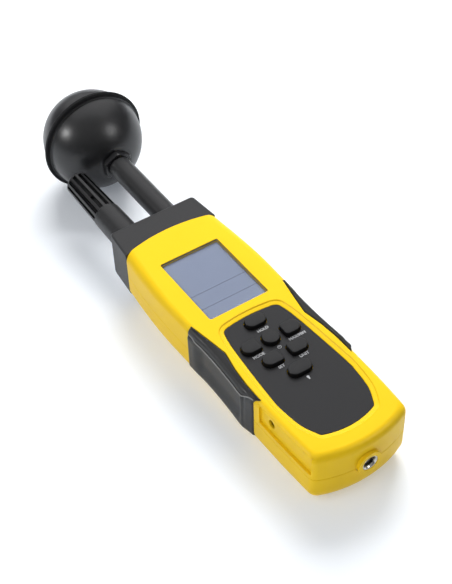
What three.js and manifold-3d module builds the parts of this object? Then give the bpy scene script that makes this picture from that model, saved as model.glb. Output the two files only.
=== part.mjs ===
// Hand-held heat-stress meter: a black temperature globe on a stem and a slotted air and
// humidity probe, side by side on the sensor head of a two-shell housing with seven keys.
//
// Frame, in millimetres: X across the width, Y along the length with the globe at +Y, and
// Z out of the display. The origin is on the flat back, in the middle of the housing.
import * as THREE from 'three';
import { mergeVertices } from 'three/addons/utils/BufferGeometryUtils.js';
import Module from 'manifold-3d';

const wasm = await Module();
wasm.setup();

// Driving dimensions
const GAP = 0.3;              // clearance between neighbouring pieces
const HOUSING_END = -80;      // corners of the bottom end
const END_BULGE = 5;          // how far the bottom end bows out between its corners
const BOW_RADIUS = (23 ** 2 + END_BULGE ** 2) / (2 * END_BULGE);
const HEAD_END = 78.8;        // flat end of the sensor head
const THICKNESS = 30;         // back face to front face
const SPLIT = 16;             // height of the seam between the two shells
const WALL = 2.4;             // shell wall
const FRONT_WALL = 2.5;       // wall under the front face
const BACK_ROUND = 7;         // rounding of the long edges of the back
const FRONT_ROUND = 3;        // rounding of the long edges of the front
const SEAM_CROWN = 65;        // seam between housing and head, on the centre line
const SEAM_SIDE = 61.5;       // the same seam at the sides
const SENSOR_X = 11.7;        // stem and probe axes, left and right of centre
const SENSOR_Z = 17;          // height of both axes over the back
const GLOBE_Y = 157.9;        // centre of the globe
const GLOBE_RADIUS = 25.4;
const RIM_RADIUS = 27.6;      // flange round the globe's equator
const STEM_RADIUS = 5.85;
const STEM_SPIGOT = 4.4;      // radius of the stem where it passes through the end wall
const PANEL_Z = 29.2;         // top of the keypad overlay
const KEY_TOP = 31.4;         // top of the key caps
const BOSS_RADIUS = 5.8;      // tripod boss on the bottom end
const BOSS_Z = 17.5;
const INSERT_RADIUS = 3.7;    // threaded insert in that boss

// Half the width of the housing at places along its length
const SIDE_POINTS = [
  [23.2, -92], [23.7, -80], [24.6, -62], [25.0, -40], [25.5, -15],
  [26.0, 7], [26.5, 27], [25.9, 44], [24.5, 61], [22.8, 80], [21.8, 92],
];

const product = new THREE.Group();

// ---- materials -------------------------------------------------------------------------

function material(color, roughness, metalness = 0) {
  return new THREE.MeshStandardMaterial({ color, roughness, metalness });
}

const yellowPlastic = () => material(0xf7d92c, 0.45);
const blackPlastic = () => material(0x3f4043, 0.55);
const globeBlack = () => material(0x2b2c2f, 0.4);
const blackRubber = () => material(0x37383a, 0.8);
const keyRubber = () => material(0x434347, 0.75);
const clearPlastic = () => material(0xa9b4c6, 0.1);
const displayGlass = () => material(0x8f9bb5, 0.15);
const circuitBoard = () => material(0x1f6b3a, 0.6);
const steel = () => material(0xb9bcc0, 0.3, 1);
const brass = () => material(0xb5924c, 0.35, 1);
const batteryCase = () => material(0x55585e, 0.5, 0.4);

// ---- solids ----------------------------------------------------------------------------

// Turns a closed three.js geometry into a solid, with its faces pointing out.
function solid(geometry) {
  geometry.deleteAttribute('normal');
  geometry.deleteAttribute('uv');
  const welded = mergeVertices(geometry);
  const position = welded.attributes.position;
  const index = welded.index.array;
  const triangles = [];
  let volume = 0;
  const a = new THREE.Vector3();
  const b = new THREE.Vector3();
  const c = new THREE.Vector3();
  for (let i = 0; i < index.length; i += 3) {
    const [p, q, r] = [index[i], index[i + 1], index[i + 2]];
    if (p === q || q === r || r === p) continue;
    triangles.push(p, q, r);
    a.fromBufferAttribute(position, p);
    b.fromBufferAttribute(position, q);
    c.fromBufferAttribute(position, r);
    volume += a.dot(b.cross(c));
  }
  if (volume < 0) triangles.reverse();
  return new wasm.Manifold(new wasm.Mesh({
    numProp: 3,
    vertProperties: new Float32Array(position.array),
    triVerts: new Uint32Array(triangles),
  }));
}

// Adds a solid to the product as a named mesh.
function place(name, body, look) {
  const mesh = body.getMesh();
  const geometry = new THREE.BufferGeometry();
  geometry.setAttribute('position', new THREE.BufferAttribute(mesh.vertProperties, 3));
  geometry.setIndex(new THREE.BufferAttribute(mesh.triVerts, 1));
  geometry.computeVertexNormals();
  const part = new THREE.Mesh(geometry, look);
  part.name = name;
  product.add(part);
}

function block(x0, x1, y0, y1, z0, z1) {
  const geometry = new THREE.BoxGeometry(x1 - x0, y1 - y0, z1 - z0);
  geometry.translate((x0 + x1) / 2, (y0 + y1) / 2, (z0 + z1) / 2);
  return solid(geometry);
}

// An outline in X and Y, raised from z0 to z1.
function prism(outline, z0, z1, curveSegments = 6) {
  const geometry = new THREE.ExtrudeGeometry(outline, { depth: z1 - z0, bevelEnabled: false, curveSegments });
  geometry.translate(0, 0, z0);
  return solid(geometry);
}

// A turned piece on an axis along Y, from [radius, y] points, at x and z.
function turned(points, x = SENSOR_X, z = SENSOR_Z, segments = 20) {
  const profile = points.map(([radius, y]) => new THREE.Vector2(radius, y));
  const geometry = new THREE.LatheGeometry(profile, segments);
  geometry.translate(x, 0, z);
  return solid(geometry);
}

function rod(radius, y0, y1, x, z, segments = 24) {
  return turned([[0, y0], [radius, y0], [radius, y1], [0, y1]], x, z, segments);
}

function pipe(outer, inner, y0, y1, x, z, segments = 24) {
  const points = [[inner, y0], [outer, y0], [outer, y1], [inner, y1], [inner, y0]];
  return turned(points, x, z, segments);
}

// An upright cylinder, along Z.
function post(radius, x, y, z0, z1, segments = 16) {
  const geometry = new THREE.CylinderGeometry(radius, radius, z1 - z0, segments);
  geometry.rotateX(Math.PI / 2);
  geometry.translate(x, y, (z0 + z1) / 2);
  return solid(geometry);
}

// ---- housing outlines ------------------------------------------------------------------

// The sides of the housing, running on past both ends.
function sideOutline() {
  const right = SIDE_POINTS.map(([x, y]) => new THREE.Vector2(x, y));
  const left = SIDE_POINTS.map(([x, y]) => new THREE.Vector2(-x, y)).reverse();
  const outline = new THREE.Shape();
  outline.moveTo(right[0].x, right[0].y);
  outline.splineThru(right.slice(1));
  outline.lineTo(left[0].x, left[0].y);
  outline.splineThru(left.slice(1));
  return outline;
}

// A bar with the side outline and rounded long edges, set in by inset.
function sideBar(inset, z0, z1, round) {
  const geometry = new THREE.ExtrudeGeometry(sideOutline(), {
    depth: z1 - z0 - 2 * round,
    bevelThickness: round,
    bevelSize: round,
    bevelOffset: -round - inset,
    bevelSegments: 3,
    curveSegments: 2,
  });
  geometry.translate(0, 0, z0 + round);
  return solid(geometry);
}

// The bowed bottom end is part of a large disc with a rounded rim, lying in the housing's
// plane. The bar below keeps what is inside the disc, or past the disc's centre.
function endDisc(inset, z0, z1, round) {
  const radius = BOW_RADIUS - inset;
  const points = [new THREE.Vector2(0, z0)];
  const steps = 3;
  for (let i = 0; i <= steps; i += 1) {
    const angle = (i * Math.PI) / 2 / steps;
    const out = round * (1 - Math.sin(angle));
    points.push(new THREE.Vector2(radius - out, z0 + round * (1 - Math.cos(angle))));
  }
  for (let i = 0; i <= steps; i += 1) {
    const angle = (i * Math.PI) / 2 / steps;
    const out = round * (1 - Math.cos(angle));
    points.push(new THREE.Vector2(radius - out, z1 - round * (1 - Math.sin(angle))));
  }
  points.push(new THREE.Vector2(0, z1));
  const geometry = new THREE.LatheGeometry(points, 48);
  geometry.rotateX(Math.PI / 2);
  const centreY = HOUSING_END - END_BULGE + BOW_RADIUS;
  geometry.translate(0, centreY, 0);
  return solid(geometry).add(block(-40, 40, centreY, 120, z0, z1));
}

// The housing's rounded outer form, set in by inset all round.
function sleeve(inset, z0, z1, round) {
  return sideBar(inset, z0, z1, round).intersect(endDisc(inset, z0, z1, round));
}

// Points of the bowed seam with the head, from +X to -X, moved up by lift.
function seamLine(lift) {
  const cornerX = 23;
  const farX = 32;
  const steps = 12;
  const points = [];
  for (let i = 0; i <= steps; i += 1) {
    const x = farX - (2 * farX * i) / steps;
    const sag = (SEAM_CROWN - SEAM_SIDE) * (x / cornerX) ** 2;
    points.push(new THREE.Vector2(x, SEAM_CROWN + lift - sag));
  }
  return points;
}

// Everything below the seam with the head.
function belowSeam(z0, z1, lift = 0) {
  const foot = [new THREE.Vector2(-32, -95), new THREE.Vector2(32, -95)];
  return prism(new THREE.Shape([...foot, ...seamLine(lift)]), z0, z1);
}

// A rounded bar whose left and right ends have corners of their own.
function barOutline(halfWidth, halfHeight, leftRound, rightRound) {
  const outline = new THREE.Shape();
  const cornerRight = halfWidth - rightRound;
  const cornerLeft = leftRound - halfWidth;
  outline.absarc(cornerRight, halfHeight - rightRound, rightRound, 0, Math.PI / 2);
  outline.absarc(cornerLeft, halfHeight - leftRound, leftRound, Math.PI / 2, Math.PI);
  outline.absarc(cornerLeft, leftRound - halfHeight, leftRound, Math.PI, 1.5 * Math.PI);
  outline.absarc(cornerRight, rightRound - halfHeight, rightRound, 1.5 * Math.PI, 2 * Math.PI);
  return outline;
}

// ---- keys ------------------------------------------------------------------------------

// Each key: name, centre, half width, half height, rounding of its left and right ends
const KEYS = [
  ['key_hold', 0, -6.4, 4.9, 3.1, 3.0, 3.0],
  ['key_power', 0, -17.9, 3.9, 3.9, 3.8, 3.8],
  ['key_mode', -10.3, -18, 4.1, 3.3, 3.1, 1.3],
  ['key_max_min', 10.3, -18, 4.1, 3.3, 1.3, 3.1],
  ['key_set', -6.5, -28.4, 4.3, 3.2, 3.0, 1.3],
  ['key_unit', 6.5, -28.4, 4.3, 3.2, 1.3, 3.0],
  ['key_light', 0, -38.8, 5.4, 3.1, 3.0, 3.0],
];
const KEY_FLANGE = 0.9;       // how far the hidden flange of a key reaches past its cap
const KEY_FLANGE_BOTTOM = 26.0;
const KEY_FLANGE_TOP = 27.0;

// A key's outline grown by grow all round, raised from z0 to z1 where the key stands
function keyPrism([, x, y, halfWidth, halfHeight, leftRound, rightRound], grow, z0, z1) {
  const outline = barOutline(halfWidth + grow, halfHeight + grow, leftRound + grow, rightRound + grow);
  return prism(outline, z0, z1, 3).translate([x, y, 0]);
}

function keyHoles(z0, z1) {
  return wasm.Manifold.union(KEYS.map((key) => keyPrism(key, GAP, z0, z1)));
}

function addKeys() {
  for (const key of KEYS) {
    const cap = keyPrism(key, 0, KEY_FLANGE_BOTTOM, KEY_TOP);
    const flange = keyPrism(key, KEY_FLANGE, KEY_FLANGE_BOTTOM, KEY_FLANGE_TOP);
    place(key[0], cap.add(flange), keyRubber());
  }
}

// ---- keypad overlay --------------------------------------------------------------------

// The right side of the overlay from its lower to its upper corner, then mirrored
function overlayOutline(grow) {
  const side = [[13.2, -71.2], [16.9, -62.8], [18.4, -52], [18.5, -46], [17.4, -29], [15.9, -12], [14.4, -4.2]];
  const right = side.map(([x, y]) => new THREE.Vector2(x + grow, y));
  const left = side.map(([x, y]) => new THREE.Vector2(-x - grow, y)).reverse();
  const bottomY = -74 - grow;
  const topY = -1.3 + grow;
  const outline = new THREE.Shape();
  outline.moveTo(right[0].x, right[0].y);
  outline.splineThru(right.slice(1));
  outline.quadraticCurveTo(13.6 + grow, -2.6 + grow, 10, -2.0 + grow);
  outline.quadraticCurveTo(0, topY + 0.7, -10, -2.0 + grow);
  outline.quadraticCurveTo(-13.6 - grow, -2.6 + grow, left[0].x, left[0].y);
  outline.splineThru(left.slice(1));
  outline.quadraticCurveTo(0, bottomY - 2.4, right[0].x, right[0].y);
  return outline;
}

function addKeypadOverlay() {
  const sheet = prism(overlayOutline(0), PANEL_Z - 0.5, PANEL_Z, 2);
  place('keypad_overlay', sheet.subtract(keyHoles(20, 35)), blackPlastic());
}

// ---- grips -----------------------------------------------------------------------------

const GRIP_PROUD = 0.5;       // how far a grip stands out of the housing's side
const GRIP_DEPTH = 1.3;       // how deep it is let in
const GRIP_BACK = 6;          // its edge over the back
const GRIP_FRONT_POINTS = [[24.2, 6], [22.6, -2], [20.6, -14], [22.3, -24], [23.1, -33], [23.3, -43.3]];

// The plan of the right grip, grown by grow, out past the side of the housing
function gripOutline(grow) {
  const front = GRIP_FRONT_POINTS.map(([x, y]) => new THREE.Vector2(x - grow, y));
  front[0].y += grow;
  front[front.length - 1].y -= grow;
  return new THREE.Shape([
    ...front,
    new THREE.Vector2(30, -42.3 - grow),
    new THREE.Vector2(30, 8 + grow),
  ]);
}

function gripPlan(grow) {
  return prism(gripOutline(grow), GRIP_BACK - grow, THICKNESS + 2);
}

// The space that both grips take up in the housing
function gripPockets() {
  const skin = sleeve(-3, -6, THICKNESS + 3, BACK_ROUND)
    .subtract(sleeve(GRIP_DEPTH + GAP, 0, THICKNESS - GRIP_DEPTH - GAP, 4));
  const right = skin.intersect(gripPlan(GAP));
  return right.add(right.mirror([1, 0, 0]));
}

function addGrips() {
  const skin = sleeve(-GRIP_PROUD, 0, THICKNESS + 0.2, 3)
    .subtract(sleeve(GRIP_DEPTH, -4, THICKNESS - GRIP_DEPTH, 4));
  const right = skin.intersect(gripPlan(0));
  place('right_grip', right, blackRubber());
  place('left_grip', right.mirror([1, 0, 0]), blackRubber());
}

// ---- display ---------------------------------------------------------------------------

const WINDOW = { halfWidth: 15.2, bottom: 5.3, top: 46.4 };
const BOARD_TOP = 23.1;

function addDisplay() {
  const { halfWidth, bottom, top } = WINDOW;
  const lensHalf = halfWidth - GAP;
  const lens = block(-lensHalf, lensHalf, bottom + GAP, top - GAP, 28.7, 29.7);
  place('display_window', lens, clearPlastic());
  const glass = block(-17, 17, 2, 48.6, 25.6, 27.2)
    .add(block(-lensHalf, lensHalf, bottom + GAP, top - GAP, 27, 28.4));
  place('display_glass', glass, displayGlass());
  place('display_backlight', block(-16, 16, 5.4, 46, BOARD_TOP + GAP, 25.3), clearPlastic());
  place('display_contact_strip', block(-15, 15, 2.6, 4.8, BOARD_TOP + GAP, 25.3), keyRubber());
  const frame = block(-19, 19, 0, 50.2, BOARD_TOP + GAP, 27.2)
    .subtract(block(-17.3, 17.3, 1.7, 48.9, 20, 30));
  place('display_frame', frame, blackPlastic());
}

// ---- fasteners and their bosses --------------------------------------------------------

const SCREW_PLACES = [[-15, 54], [15, 54], [-17.6, -62], [17.6, -62]];
const SCREW_HEAD_Z = 4.7;

function screwBosses(z0, z1, radius) {
  return wasm.Manifold.union(SCREW_PLACES.map(([x, y]) => post(radius, x, y, z0, z1)));
}

function addScrews() {
  SCREW_PLACES.forEach(([x, y], i) => {
    const head = post(2.4, x, y, SCREW_HEAD_Z - 1.8, SCREW_HEAD_Z);
    const shank = post(1.2, x, y, SCREW_HEAD_Z - 1, 22);
    const slot = block(x - 0.3, x + 0.3, y - 1.5, y + 1.5, 0, 3.6);
    const cross = block(x - 1.5, x + 1.5, y - 0.3, y + 0.3, 0, 3.6);
    place(`housing_screw_${i + 1}`, head.add(shank).subtract(slot).subtract(cross), steel());
  });
}

// ---- battery door ----------------------------------------------------------------------

const DOOR = { halfWidth: 13.6, top: -12, lip: 1.2, thickness: 3.5 };

// The door's plate and its two tongues; grow makes the opening that it slides in
function doorBody(grow) {
  const { halfWidth, top, lip, thickness } = DOOR;
  const ceiling = thickness + grow;
  const plate = block(-halfWidth - grow, halfWidth + grow, -95, top + grow, -1, ceiling);
  const tongueHalf = halfWidth + lip + grow;
  const tongues = block(-tongueHalf, tongueHalf, -95, top + grow, WALL + GAP - grow, ceiling);
  return plate.add(tongues);
}

function addBatteryDoor() {
  const plate = doorBody(0).intersect(sleeve(0.25, 0.25, 40, BACK_ROUND));
  place('battery_door', plate, yellowPlastic());
}

// ---- tripod socket ---------------------------------------------------------------------

function tripodBoss(radius, y0, y1) {
  return rod(radius, y0, y1, 0, BOSS_Z);
}

function addTripodInsert() {
  place('tripod_insert', pipe(INSERT_RADIUS, 3, -86.3, -75, 0, BOSS_Z), brass());
}

// ---- shells ----------------------------------------------------------------------------

const SIDE_RECESS = { depth: 1.2, y0: -78.4, y1: -45, z0: 18.6, z1: 28.4 };
const JACK = { y: -52, z: 23.5, radius: 2 };

function addFrontHousing() {
  const floor = SPLIT + GAP / 2;
  const outer = sleeve(0, -10, THICKNESS, FRONT_ROUND).intersect(belowSeam(floor, 31));
  const inner = sleeve(WALL, -10, THICKNESS - FRONT_WALL, 1);
  const bosses = screwBosses(floor, THICKNESS - FRONT_WALL + 0.5, 3.4)
    .subtract(screwBosses(0, 23, 1.5));
  const { halfWidth, bottom, top } = WINDOW;
  const window = block(-halfWidth, halfWidth, bottom, top, 20, 40);
  const panelRecess = prism(overlayOutline(GAP), PANEL_Z - 0.5 - GAP, 40, 2);
  const { depth, y0, y1, z0, z1 } = SIDE_RECESS;
  const sideRecess = block(-30, -15, y0, y1, z0, z1).subtract(sideBar(depth, 10, 40, 1));
  const jackHole = rod(JACK.radius, 10, 30, 0, 0, 12).rotate([0, 0, 90]).translate([0, JACK.y, JACK.z]);
  const shell = outer.subtract(inner)
    .add(bosses)
    .add(tripodBoss(BOSS_RADIUS, HOUSING_END - 6.6, -74))
    .subtract(tripodBoss(INSERT_RADIUS + GAP, -90, -70))
    .subtract(window)
    .subtract(panelRecess)
    .subtract(keyHoles(20, 40))
    .subtract(sideRecess)
    .subtract(jackHole)
    .subtract(gripPockets());
  place('front_housing', shell, yellowPlastic());
}

function addRearHousing() {
  const ceiling = SPLIT - GAP / 2;
  const outer = sleeve(0, 0, 44, BACK_ROUND).intersect(belowSeam(-1, ceiling));
  const inner = sleeve(WALL, WALL, 44, BACK_ROUND - 2);
  const bosses = screwBosses(1, ceiling, 3.4);
  const shell = outer.subtract(inner)
    .add(bosses)
    .subtract(screwBosses(-1, 30, 1.5))
    .subtract(screwBosses(-1, SCREW_HEAD_Z + GAP, 2.8))
    .subtract(doorBody(GAP))
    .subtract(tripodBoss(BOSS_RADIUS + GAP, -90, -70))
    .subtract(gripPockets());
  place('rear_housing', shell, yellowPlastic());
}

// ---- electronics -----------------------------------------------------------------------

function addElectronics() {
  const boardBottom = BOARD_TOP - 1.6;
  place('main_board', block(-18.8, 18.8, -46, 50, boardBottom, BOARD_TOP), circuitBoard());
  place('keypad_mat', block(-16, 16, -45, -2, BOARD_TOP + GAP, 24.9), keyRubber());
  place('processor_chip', block(-5, 5, 8, 18, 19.9, boardBottom - GAP), blackPlastic());
  place('buzzer', post(6, -9, 32, 15, boardBottom - GAP), blackPlastic());
  place('battery', block(-13.2, 13.2, -62, -13.5, 4.2, 20.8), batteryCase());
  place('battery_snap', block(-12.5, 12.5, -13.2, -10.4, 4.6, 19.6), blackPlastic());
  const jack = block(-21, -14, -57, -47.2, 20.9, 26.6);
  const bore = rod(1.75, 15, 30, 0, 0, 12).rotate([0, 0, 90]).translate([0, JACK.y, JACK.z]);
  place('output_jack', jack.subtract(bore), blackPlastic());
}

// ---- sensor head -----------------------------------------------------------------------

const HEAD = { back: 1.4, front: 29, wall: 2.4, endWall: 3 };
const PROBE_X = -SENSOR_X;
const PROBE_SPIGOT = 6.6;     // radius of the probe where it passes through the end wall

function addSensorHead() {
  const { back, front, wall, endWall } = HEAD;
  const outer = sleeve(0.2, back, front, 3)
    .intersect(block(-32, 32, 40, HEAD_END, 0, 31))
    .subtract(belowSeam(0, 31, GAP));
  const skirt = sleeve(WALL + GAP, WALL + GAP, THICKNESS - FRONT_WALL - GAP, 6)
    .intersect(block(-32, 32, 58.5, 72, 0, 31));
  const skirtHollow = sleeve(WALL + GAP + 1.4, back + wall + 0.6, front - wall - 0.9, 4)
    .intersect(block(-32, 32, 50, 72, 0, 31));
  const hollow = sleeve(wall, back + wall, front - wall, 3)
    .intersect(block(-32, 32, 68, HEAD_END - endWall, 0, 31));
  const head = outer.add(skirt)
    .subtract(skirtHollow)
    .subtract(hollow)
    .subtract(rod(STEM_SPIGOT + GAP, 60, 90, SENSOR_X, SENSOR_Z))
    .subtract(rod(PROBE_SPIGOT + GAP, 60, 90, PROBE_X, SENSOR_Z));
  place('sensor_head', head, blackPlastic());
  place('sensor_board', block(-16, 16, 59, 75, 5.4, 7), circuitBoard());
}

// ---- globe and stem --------------------------------------------------------------------

const COLLAR = { y0: 130.8, y1: 133.8, radius: 8.1 };
const GLOBE_WALL = 1;

// A hexagonal nut on the stem's axis, with a round bore
function hexagon(radius, bore, y0, y1) {
  return rod(radius, y0, y1, SENSOR_X, SENSOR_Z, 6).subtract(rod(bore, y0 - 1, y1 + 1, SENSOR_X, SENSOR_Z));
}

function addStem() {
  const bore = 3.6;
  const shoulder = HEAD_END + GAP;
  const tube = turned([
    [bore, 69], [STEM_SPIGOT, 69], [STEM_SPIGOT, shoulder], [STEM_RADIUS, shoulder],
    [STEM_RADIUS, COLLAR.y0 - GAP], [bore, COLLAR.y0 - GAP], [bore, 69],
  ]);
  place('globe_stem', tube, blackPlastic());
  const nutTop = HEAD_END - HEAD.endWall - GAP;
  const nut = hexagon(7.2, STEM_SPIGOT + GAP, nutTop - 4, nutTop);
  place('stem_nut', nut, steel());
  const collar = hexagon(COLLAR.radius, 1.9, COLLAR.y0, COLLAR.y1);
  place('globe_collar', collar, globeBlack());
  const needle = turned([[0, 122], [1.5, 122], [1.5, 154], [2.4, 156], [2.4, 160], [0, 162]]);
  place('globe_sensor', needle, steel());
}

// Points on the globe's meridian, from one height over its centre to another
function meridian(radius, from, to, steps) {
  const points = [];
  for (let i = 0; i <= steps; i += 1) {
    const angle = from + ((to - from) * i) / steps;
    points.push([radius * Math.cos(angle), GLOBE_Y + radius * Math.sin(angle)]);
  }
  return points;
}

function addGlobe() {
  const inner = GLOBE_RADIUS - GLOBE_WALL;
  const neck = COLLAR.y1 + GAP - GLOBE_Y;
  const rimStep = -2.6;
  const outerStart = Math.asin(neck / GLOBE_RADIUS);
  const innerStart = Math.asin((neck + GLOBE_WALL) / inner);
  const near = [
    [3, GLOBE_Y + neck],
    ...meridian(GLOBE_RADIUS, outerStart, Math.asin(rimStep / GLOBE_RADIUS), 7),
    [26.4, GLOBE_Y + rimStep],
    [26.4, GLOBE_Y - 1.3],
    [RIM_RADIUS, GLOBE_Y - 1.3],
    [RIM_RADIUS, GLOBE_Y],
    ...meridian(inner, 0, innerStart, 6),
    [3, GLOBE_Y + neck + GLOBE_WALL],
    [3, GLOBE_Y + neck],
  ];
  place('globe_near_half', turned(near, SENSOR_X, SENSOR_Z, 30), globeBlack());
  const seat = GAP;
  const far = [
    [Math.sqrt(inner ** 2 - seat ** 2), GLOBE_Y + seat],
    [27.2, GLOBE_Y + seat],
    [27.2, GLOBE_Y + seat + 0.9],
    ...meridian(GLOBE_RADIUS, Math.asin((seat + 0.9) / GLOBE_RADIUS), Math.PI / 2, 8),
    ...meridian(inner, Math.PI / 2, Math.asin(seat / inner), 7),
  ];
  place('globe_far_half', turned(far, SENSOR_X, SENSOR_Z, 30), globeBlack());
}

// ---- air and humidity probe ------------------------------------------------------------

const PROBE = { tip: 132.4, slotStart: 103, slotEnd: 130.9, slots: 12 };

function addProbe() {
  const { tip, slotStart, slotEnd, slots } = PROBE;
  const y0 = HEAD_END + GAP;
  const profile = [
    [4.6, 70], [PROBE_SPIGOT, 70], [PROBE_SPIGOT, y0], [7.4, y0], [6.8, slotStart], [6.05, tip - 1],
    [5.2, tip], [0, tip], [0, tip - 1.4], [4.8, tip - 1.4], [5.5, slotStart], [4.6, 84], [4.6, 70],
  ];
  let cage = turned(profile, PROBE_X, SENSOR_Z);
  for (let i = 0; i < slots / 2; i += 1) {
    const slot = block(-9, 9, slotStart, slotEnd, -0.9, 0.9)
      .rotate([0, (360 / slots) * i + 10, 0])
      .translate([PROBE_X, 0, SENSOR_Z]);
    cage = cage.subtract(slot);
  }
  place('probe_cage', cage, blackPlastic());
  const half = 3.6;
  const boardTop = SENSOR_Z + 0.5;
  const board = block(PROBE_X - half, PROBE_X + half, 74, 127.4, boardTop - 1, boardTop);
  place('probe_board', board, circuitBoard());
  const chipBottom = boardTop + 0.1;
  const sensor = block(PROBE_X - 2, PROBE_X + 2, 117, 122, chipBottom, chipBottom + 1.4);
  place('humidity_sensor', sensor, clearPlastic());
  const bead = block(PROBE_X - 1, PROBE_X + 1, 107, 111, chipBottom, chipBottom + 1.2);
  place('air_thermistor', bead, steel());
}

addFrontHousing();
addRearHousing();
addBatteryDoor();
addKeypadOverlay();
addKeys();
addGrips();
addDisplay();
addScrews();
addTripodInsert();
addElectronics();
addSensorHead();
addStem();
addGlobe();
addProbe();

export default product;
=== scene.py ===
# Hand-held heat stress meter: a black temperature globe on a stem and a slotted air probe on
# the sensor head of a yellow two-shell housing with rubber grips and a seven-key pad.
import math

import bpy
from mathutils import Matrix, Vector


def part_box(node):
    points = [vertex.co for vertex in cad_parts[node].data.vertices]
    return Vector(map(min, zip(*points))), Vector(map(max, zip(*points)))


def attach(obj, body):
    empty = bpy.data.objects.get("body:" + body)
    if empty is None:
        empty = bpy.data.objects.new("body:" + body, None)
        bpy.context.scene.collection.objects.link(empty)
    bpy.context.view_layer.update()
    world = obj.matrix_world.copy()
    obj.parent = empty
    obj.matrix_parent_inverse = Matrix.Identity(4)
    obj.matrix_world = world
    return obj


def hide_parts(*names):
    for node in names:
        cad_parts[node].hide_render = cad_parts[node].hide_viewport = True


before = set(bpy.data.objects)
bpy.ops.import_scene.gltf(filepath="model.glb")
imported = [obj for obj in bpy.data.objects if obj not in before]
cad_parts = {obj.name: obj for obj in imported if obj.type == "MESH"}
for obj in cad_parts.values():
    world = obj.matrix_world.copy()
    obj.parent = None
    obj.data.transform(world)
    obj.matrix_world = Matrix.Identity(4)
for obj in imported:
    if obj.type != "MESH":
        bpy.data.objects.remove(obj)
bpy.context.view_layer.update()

# ---- Table, lights and camera ------------------------------------------------------------
# The meter lies on its back on a white table, on its bottom end and on the globe's rim, so
# the table falls away a little under it. A large soft light stands behind it to the right.
MM = 0.001                    # everything below is in millimetres, in the part's own frame
TABLE_HALF = 4000
TABLE_REST = -77              # where the bottom end touches the table
TABLE_TURN = -40              # the table's slope is complete from here on
RIM_TOUCH = (157.9, -10.65)   # where the globe's rim touches the table, along and up


def srgb(code):
    """An sRGB colour such as 'F3C820' as linear red, green, blue and a full alpha."""
    channels = [int(code[i:i + 2], 16) / 255 for i in (0, 2, 4)]
    linear = [c / 12.92 if c <= 0.04045 else ((c + 0.055) / 1.055) ** 2.4 for c in channels]
    return (*linear, 1)


def add_node(material, kind, settings=(), **links):
    """One shader node, its settings, and the sockets or nodes that feed its inputs."""
    tree = material.node_tree
    made = tree.nodes.new("ShaderNode" + kind)
    for name, value in dict(settings).items():
        if name in made.inputs:
            made.inputs[name].default_value = value
        else:
            setattr(made, name, value)
    for name, source in links.items():
        socket = source.outputs[0] if isinstance(source, bpy.types.Node) else source
        tree.links.new(socket, made.inputs[name.replace("_", " ")])
    return made


def new_material(name):
    """An empty node material and the place on the object that its patterns read."""
    material = bpy.data.materials.new(name)
    material.use_nodes = True
    material.node_tree.nodes.clear()
    return material, add_node(material, "TexCoord").outputs["Object"]


def deselect():
    bpy.ops.object.select_all(action="DESELECT")


def only(obj):
    """Selects obj alone and makes it the active one."""
    deselect()
    obj.select_set(True)
    bpy.context.view_layer.objects.active = obj


bpy.context.scene.view_settings.view_transform = "Standard"

table_slope = -RIM_TOUCH[1] / (RIM_TOUCH[0] - (TABLE_REST + TABLE_TURN) / 2)
deselect()
bpy.ops.mesh.primitive_grid_add(x_subdivisions=2, y_subdivisions=12, size=2)
table = bpy.context.object
table.name = "table"
table_rows = sorted({round(v.co.y, 4) for v in table.data.vertices})
for vertex in table.data.vertices:
    row = table_rows.index(round(vertex.co.y, 4))
    share = (row - 1) / (len(table_rows) - 3)
    along = TABLE_REST + (TABLE_TURN - TABLE_REST) * min(max(share, 0), 1)
    bend = (along - TABLE_REST) ** 2 / (2 * (TABLE_TURN - TABLE_REST))
    if row == 0:
        along = -TABLE_HALF
    if row == len(table_rows) - 1:
        bend += TABLE_HALF - along
        along = TABLE_HALF
    vertex.co = Vector((vertex.co.x * TABLE_HALF, along, -table_slope * bend)) * MM
only(table)
bpy.ops.object.shade_smooth()

# Matt white card, lit a little from below as a light table is, and more so at the front,
# which keeps the shadows grey.
card, place = new_material("white_card")
card_along = add_node(card, "SeparateXYZ", Vector=place).outputs["Y"]
glow = add_node(card, "MapRange", {
    "From Min": 60 * MM, "From Max": 140 * MM, "To Min": 0.29, "To Max": 0.15}, Value=card_along)
shader = add_node(card, "BsdfPrincipled", {
    "Base Color": srgb("E5E8EB"), "Roughness": 0.9, "Specular IOR Level": 0.1,
    "Emission Color": srgb("E6F0FF")}, Emission_Strength=glow)
add_node(card, "OutputMaterial", Surface=shader)
table.data.materials.append(card)

# The studio is dark near the table and pale overhead, which gives dark plastic its dark bands.
HORIZON, OVERHEAD = 0.06, 0.42
world = bpy.data.worlds.new("studio")
bpy.context.scene.world = world
world.use_nodes = True
sky = world.node_tree.nodes["Background"]
studio_place = add_node(world, "TexCoord").outputs["Generated"]
studio_height = add_node(world, "SeparateXYZ", Vector=studio_place).outputs["Z"]
studio_light = add_node(world, "MapRange", {
    "interpolation_type": "SMOOTHSTEP", "From Min": 0.05, "From Max": 0.9, "To Min": HORIZON,
    "To Max": OVERHEAD}, Value=studio_height)
world.node_tree.links.new(studio_light.outputs[0], sky.inputs["Strength"])
sky.inputs["Color"].default_value = srgb("FFFFFF")

LIGHT_AIM = Vector((0, 40, 10)) * MM


def softbox(name, towards, distance, size, watts, mirrored):
    """A square area light, towards that direction from the meter and facing it. It is either
    mirrored in glossy surfaces or lights the matt ones."""
    direction = Vector(towards).normalized()
    turn = direction.to_track_quat("Z", "Y").to_euler()
    place = LIGHT_AIM + direction * distance
    bpy.ops.object.light_add(type="AREA", location=place, rotation=turn)
    light = bpy.context.object
    light.name = name
    light.data.size = size
    light.data.energy = watts
    light.visible_glossy = mirrored
    light.visible_diffuse = not mirrored


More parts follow.
